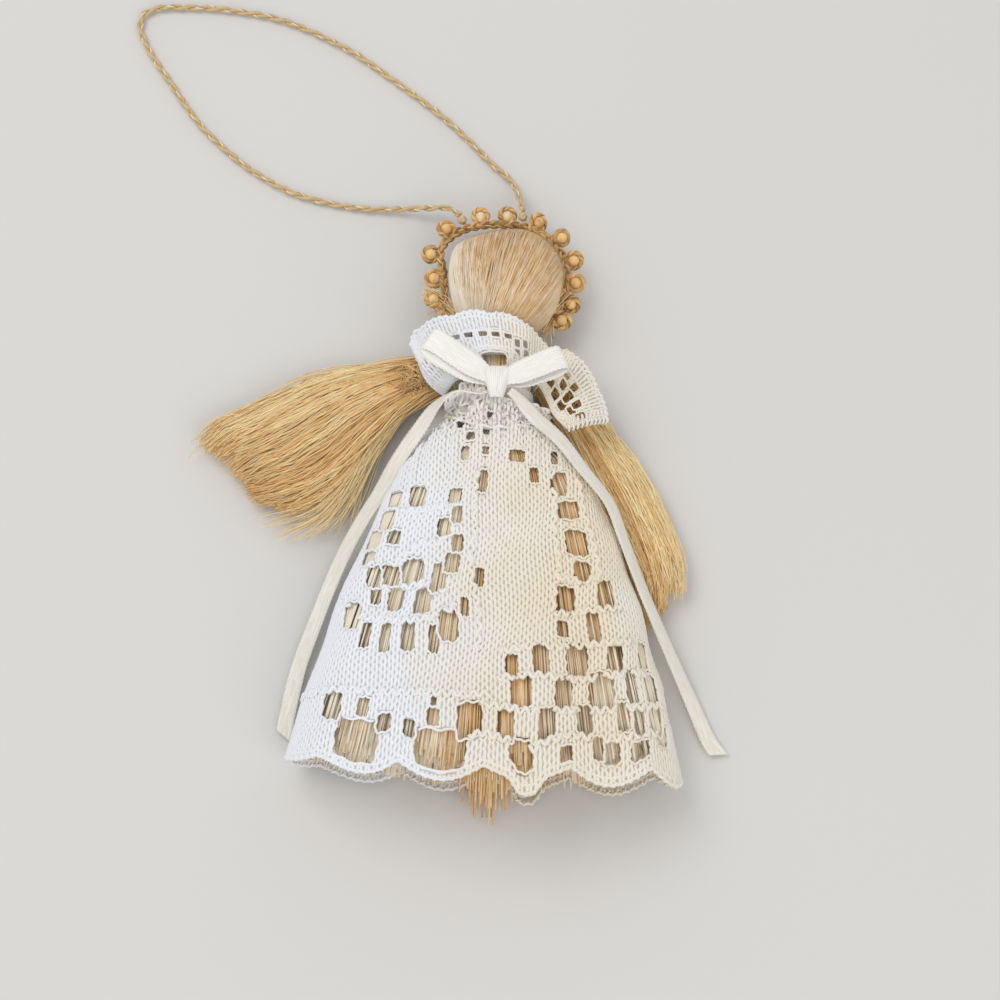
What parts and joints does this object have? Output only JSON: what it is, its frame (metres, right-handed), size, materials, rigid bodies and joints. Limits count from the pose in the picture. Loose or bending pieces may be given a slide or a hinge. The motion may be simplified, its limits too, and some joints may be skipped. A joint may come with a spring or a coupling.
{
  "type": "straw angel doll",
  "caption": "Hanging angel doll of combed straw fibre in a gathered lace dress and collar, with fibre wings, braided halo, tied ribbon bow and twisted hanging loop.",
  "frame": {"origin": "on the table under the middle of the doll's outline, without its loose ribbon ends and hanging cord", "axes": "+Y from the hem to the head, +Z out of the table towards the doll's front, +X to the right as seen from the front"},
  "size_m": [0.1173, 0.1577, 0.0209],
  "materials": {
    "straw": "dry combed plant fibre",
    "blond_fibre": "combed plant fibre with a soft sheen",
    "lace": "matt knitted cotton lace",
    "satin": "satin weave ribbon",
    "cotton": "matt cotton"
  },
  "bodies": {
    "doll": {"body_fibre": "straw", "neck_binding": "cotton", "head_fibre": "blond_fibre", "head_core": "cotton", "halo_braid": "straw", "halo_curl_01": "straw", "halo_curl_02": "straw", "halo_curl_03": "straw", "halo_curl_04": "straw", "halo_curl_05": "straw", "halo_curl_06": "straw", "halo_curl_07": "straw", "halo_curl_08": "straw", "halo_curl_09": "straw", "halo_curl_10": "straw", "halo_curl_11": "straw", "halo_curl_12": "straw", "lace_dress": "lace", "gather_thread": "cotton", "lace_collar": "lace", "ribbon_band": "satin", "bow_knot": "satin", "bow_loop_left": "satin", "bow_loop_right": "satin"},
    "hanging_loop": {"hang_knot_left": "straw", "hang_knot_right": "straw", "hang_cord": "straw"},
    "left_wing": {"wing_left": "straw", "wing_tie_left": "cotton"},
    "right_wing": {"wing_right": "straw", "wing_tie_right": "cotton"},
    "left_tail": {"ribbon_tail_left": "satin"},
    "right_tail": {"ribbon_tail_right": "satin"}
  },
  "joints": [
    {"name": "hanging_loop_swing", "type": "hinge", "parent": "doll", "child": "hanging_loop", "pos_m": [0.00206, 0.05362, 0.006], "axis": [0.9953, 0.0967, 0], "range_deg": [0, 100]},
    {"name": "left_wing_swing", "type": "hinge", "parent": "doll", "child": "left_wing", "pos_m": [0.0031, 0.02526, 0.0031], "axis": [0, 0, -1], "range_deg": [0, 30]},
    {"name": "right_wing_swing", "type": "hinge", "parent": "doll", "child": "right_wing", "pos_m": [0.01745, 0.02526, 0.0031], "axis": [0, 0, 1], "range_deg": [0, 32]},
    {"name": "left_tail_lift", "type": "hinge", "parent": "doll", "child": "left_tail", "pos_m": [0.00727, 0.01456, 0.0177], "axis": [-0.8796, 0.4757, 0], "range_deg": [0, 70]},
    {"name": "right_tail_lift", "type": "hinge", "parent": "doll", "child": "right_tail", "pos_m": [0.01327, 0.01446, 0.0177], "axis": [-0.8425, -0.5387, 0], "range_deg": [0, 70]}
  ]
}
